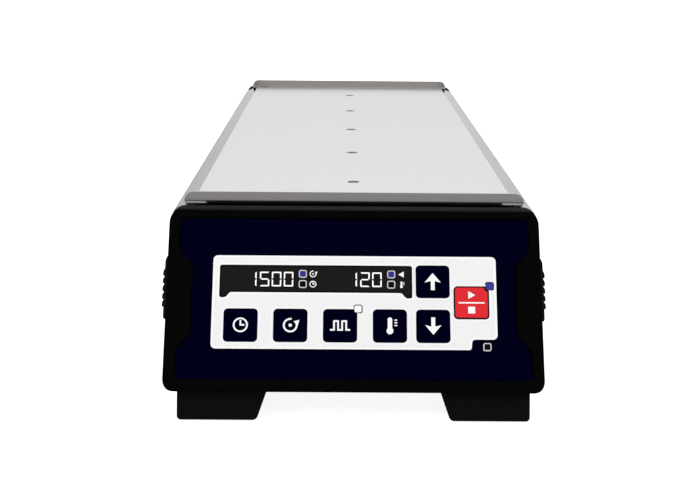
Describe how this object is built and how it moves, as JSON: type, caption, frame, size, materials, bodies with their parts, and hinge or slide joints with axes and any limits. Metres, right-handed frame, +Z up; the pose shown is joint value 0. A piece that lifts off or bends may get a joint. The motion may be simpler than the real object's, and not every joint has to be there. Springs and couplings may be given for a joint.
{
  "type": "hotplate stirrer",
  "caption": "Long bench hotplate stirrer with a row of stirring places on a satin steel plate and a sloping control panel with display and keys.",
  "frame": {"origin": "on the bench, under the middle of the instrument", "axes": "+X across, to the right of a person facing the control panel; +Y from the control panel to the rear; +Z up"},
  "size_m": [0.2094, 0.6522, 0.1146],
  "materials": {
    "satin_steel_sheet": "satin",
    "painted_pan": "fine textured matt paint",
    "black_moulding": "fine spark texture",
    "grip_rubber": "matt",
    "pad_rubber": "matt",
    "navy_film": "semi-gloss film",
    "white_label": "semi-gloss film",
    "smoked_window": "polished",
    "navy_key": "satin film over a dome",
    "red_key": "satin film over a dome",
    "lit_lamp": "lit window",
    "unlit_lamp": "window",
    "display_case": "moulded",
    "circuit_board": "solder resist",
    "heater_silicone": "moulded",
    "mineral_board": "pressed fibre",
    "inner_steel": "plated",
    "carrier_aluminium": "turned",
    "nickel_magnet": "nickel plated",
    "module_plastic": "moulded",
    "cover_screw": "plated"
  },
  "bodies": {
    "housing": {"top_plate": "satin_steel_sheet", "base_pan": "painted_pan", "front_bezel": "black_moulding", "rear_cap": "black_moulding", "front_left_foot": "black_moulding", "front_right_foot": "black_moulding", "rear_left_foot": "black_moulding", "rear_right_foot": "black_moulding", "left_grip": "grip_rubber", "right_grip": "grip_rubber", "front_left_pad": "pad_rubber", "front_right_pad": "pad_rubber", "rear_left_pad": "pad_rubber", "rear_right_pad": "pad_rubber", "panel_film": "navy_film", "control_label": "white_label", "display_window": "smoked_window", "lamp_speed": "lit_lamp", "lamp_set": "lit_lamp", "lamp_run": "lit_lamp", "lamp_minutes": "unlit_lamp", "lamp_actual": "unlit_lamp", "lamp_pulse": "unlit_lamp", "lamp_hot": "unlit_lamp", "display_module": "display_case", "control_board": "circuit_board", "heater_mat": "heater_silicone", "insulation_board": "mineral_board", "motor_tray": "inner_steel", "power_supply": "inner_steel", "temperature_sensor": "inner_steel", "stir_motor_1": "inner_steel", "stir_motor_2": "inner_steel", "stir_motor_3": "inner_steel", "stir_motor_4": "inner_steel", "stir_motor_5": "inner_steel", "power_inlet": "module_plastic", "cover_screw_1": "cover_screw", "cover_screw_2": "cover_screw", "cover_screw_3": "cover_screw", "cover_screw_4": "cover_screw"},
    "key_time_body": {"key_time": "navy_key"},
    "key_speed_body": {"key_speed": "navy_key"},
    "key_pulse_body": {"key_pulse": "navy_key"},
    "key_temperature_body": {"key_temperature": "navy_key"},
    "key_up_body": {"key_up": "navy_key"},
    "key_down_body": {"key_down": "navy_key"},
    "key_start_stop_body": {"key_start_stop": "red_key"},
    "stirrer_1": {"magnet_carrier_1": "carrier_aluminium", "drive_magnet_1": "nickel_magnet"},
    "stirrer_2": {"magnet_carrier_2": "carrier_aluminium", "drive_magnet_2": "nickel_magnet"},
    "stirrer_3": {"magnet_carrier_3": "carrier_aluminium", "drive_magnet_3": "nickel_magnet"},
    "stirrer_4": {"magnet_carrier_4": "carrier_aluminium", "drive_magnet_4": "nickel_magnet"},
    "stirrer_5": {"magnet_carrier_5": "carrier_aluminium", "drive_magnet_5": "nickel_magnet"},
    "fuse_drawer_body": {"fuse_drawer": "module_plastic"},
    "rocker_body": {"power_rocker": "module_plastic"}
  },
  "joints": [
    {"name": "key_time_press", "type": "slide", "parent": "housing", "child": "key_time_body", "axis": [0, 0.8634, -0.5045], "range_m": [0, 0.0004], "stiffness_N_per_m": 1500},
    {"name": "key_speed_press", "type": "slide", "parent": "housing", "child": "key_speed_body", "axis": [0, 0.8634, -0.5045], "range_m": [0, 0.0004], "stiffness_N_per_m": 1500},
    {"name": "key_pulse_press", "type": "slide", "parent": "housing", "child": "key_pulse_body", "axis": [0, 0.8634, -0.5045], "range_m": [0, 0.0004], "stiffness_N_per_m": 1500},
    {"name": "key_temperature_press", "type": "slide", "parent": "housing", "child": "key_temperature_body", "axis": [0, 0.8634, -0.5045], "range_m": [0, 0.0004], "stiffness_N_per_m": 1500},
    {"name": "key_up_press", "type": "slide", "parent": "housing", "child": "key_up_body", "axis": [0, 0.8634, -0.5045], "range_m": [0, 0.0004], "stiffness_N_per_m": 1500},
    {"name": "key_down_press", "type": "slide", "parent": "housing", "child": "key_down_body", "axis": [0, 0.8634, -0.5045], "range_m": [0, 0.0004], "stiffness_N_per_m": 1500},
    {"name": "key_start_stop_press", "type": "slide", "parent": "housing", "child": "key_start_stop_body", "axis": [0, 0.8634, -0.5045], "range_m": [0, 0.0004], "stiffness_N_per_m": 1500},
    {"name": "stir_spin_1", "type": "hinge", "parent": "housing", "child": "stirrer_1", "pos_m": [0, -0.19927, 0.0842], "axis": [0, 0, 1], "continuous": true},
    {"name": "stir_spin_2", "type": "hinge", "parent": "housing", "child": "stirrer_2", "pos_m": [0, -0.08927, 0.0842], "axis": [0, 0, 1], "continuous": true},
    {"name": "stir_spin_3", "type": "hinge", "parent": "housing", "child": "stirrer_3", "pos_m": [0, 0.02073, 0.0842], "axis": [0, 0, 1], "continuous": true},
    {"name": "stir_spin_4", "type": "hinge", "parent": "housing", "child": "stirrer_4", "pos_m": [0, 0.13073, 0.0842], "axis": [0, 0, 1], "continuous": true},
    {"name": "stir_spin_5", "type": "hinge", "parent": "housing", "child": "stirrer_5", "pos_m": [0, 0.24073, 0.0842], "axis": [0, 0, 1], "continuous": true},
    {"name": "fuse_drawer_slide", "type": "slide", "parent": "housing", "child": "fuse_drawer_body", "axis": [0, 1, 0], "range_m": [0, 0.016]},
    {"name": "rocker_tilt", "type": "hinge", "parent": "housing", "child": "rocker_body", "pos_m": [0.056, 0.32193, 0.076], "axis": [1, 0, 0], "range_deg": [0, 16]}
  ],
  "couplings": [
    {"joint": "stir_spin_2", "follows": "stir_spin_1", "ratio": 1},
    {"joint": "stir_spin_3", "follows": "stir_spin_1", "ratio": 1},
    {"joint": "stir_spin_4", "follows": "stir_spin_1", "ratio": 1},
    {"joint": "stir_spin_5", "follows": "stir_spin_1", "ratio": 1}
  ]
}
